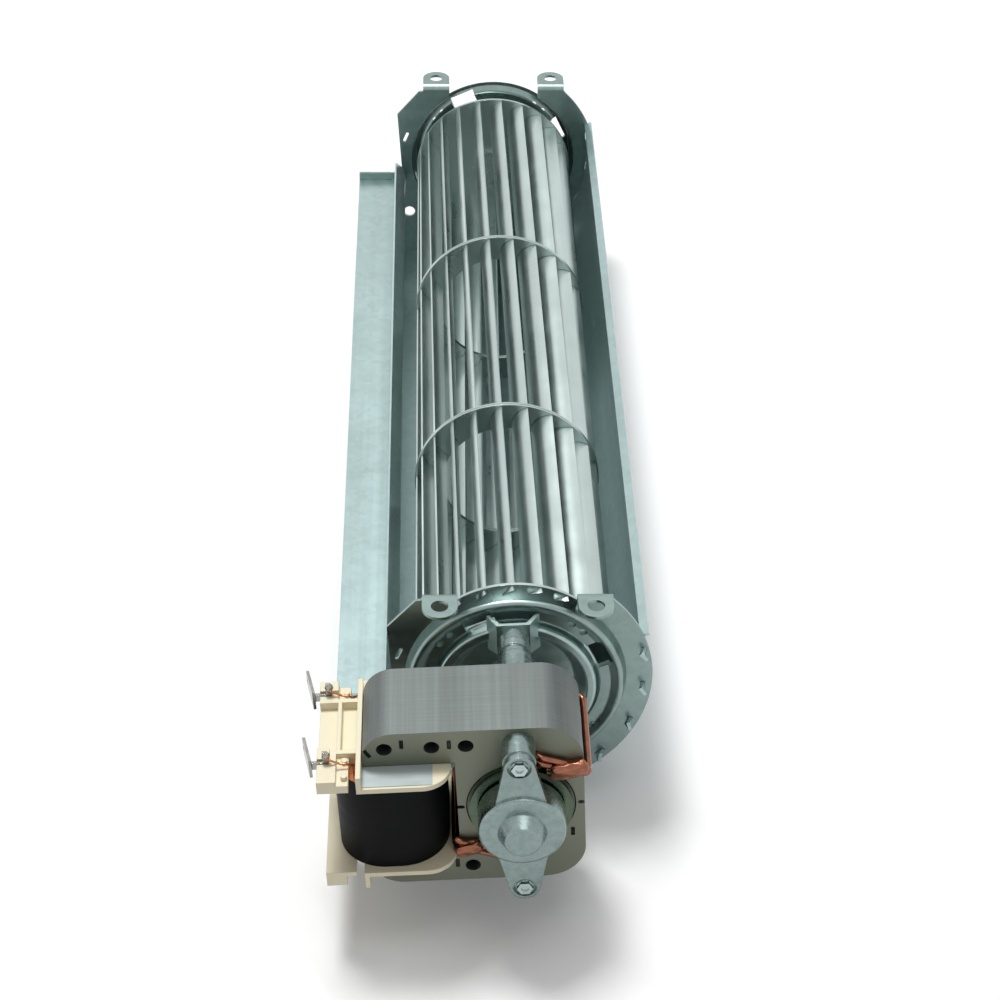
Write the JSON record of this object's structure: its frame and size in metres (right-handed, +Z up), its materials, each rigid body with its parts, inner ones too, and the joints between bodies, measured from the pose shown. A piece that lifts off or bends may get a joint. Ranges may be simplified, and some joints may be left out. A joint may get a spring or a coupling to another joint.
{
  "type": "cross flow fan",
  "caption": "Long bladed wheel in a scroll-shaped sheet metal casing with an outlet along one side, turned by an open shaded-pole motor at one end; pressed ears take its screws.",
  "frame": {"origin": "centre of the four ear holes, on the ears' top faces", "axes": "+Y along the wheel's axis, from the motor to the far end; +Z up, out of the ears' top faces; +X away from the outlet, which opens to -X"},
  "size_m": [0.1006, 0.3932, 0.077],
  "materials": {
    "galvanised_plate": "galvanised",
    "galvanised_sheet": "galvanised",
    "galvanised_dish": "galvanised",
    "rubber": "matt",
    "sintered_bronze": "matt",
    "lamination_steel": "rolled",
    "cream_plastic": "satin",
    "enamelled_copper": "glossy enamel",
    "black_tape": "satin",
    "label_foil": "matt",
    "tinned_brass": "bright",
    "bare_copper": "bright",
    "zinc_casting": "as cast",
    "plated_screw": "zinc plated",
    "ground_steel": "ground",
    "varnished_steel": "varnished",
    "cast_aluminium": "as cast",
    "spacer_plastic": "matt",
    "turned_aluminium": "turned",
    "wheel_aluminium": "satin",
    "blade_aluminium": "satin"
  },
  "bodies": {
    "housing": {"end_plate_motor_side": "galvanised_plate", "end_plate_far_side": "galvanised_plate", "scroll_shell": "galvanised_sheet", "tongue": "galvanised_sheet", "motor_mount_dish": "galvanised_dish", "bearing_dish": "galvanised_dish", "far_rubber_mount": "rubber", "far_bearing": "sintered_bronze", "stator_core": "lamination_steel", "coil_core_leg": "lamination_steel", "bobbin": "cream_plastic", "winding": "enamelled_copper", "coil_tape": "black_tape", "rating_label": "label_foil", "spade_terminal_rear": "tinned_brass", "spade_terminal_front": "tinned_brass", "winding_lead_rear": "enamelled_copper", "winding_lead_front": "enamelled_copper", "shading_ring_upper": "bare_copper", "shading_ring_lower": "bare_copper", "front_bracket": "zinc_casting", "rear_bracket": "zinc_casting", "front_bearing": "sintered_bronze", "rear_bearing": "sintered_bronze", "motor_screws": "plated_screw"},
    "rotor": {"motor_shaft": "ground_steel", "rotor_core": "varnished_steel", "rotor_cage": "cast_aluminium", "shaft_spacers": "spacer_plastic", "drive_hub": "turned_aluminium", "hub_set_screw": "plated_screw", "end_disc_motor_side": "wheel_aluminium", "end_disc_far_side": "wheel_aluminium", "middle_disc_a": "wheel_aluminium", "middle_disc_b": "wheel_aluminium", "wheel_blades": "blade_aluminium", "far_stub_shaft": "ground_steel"}
  },
  "joints": [
    {"name": "impeller_spin", "type": "hinge", "parent": "housing", "child": "rotor", "pos_m": [0, 0, -0.032], "axis": [0, 1, 0], "continuous": true}
  ]
}
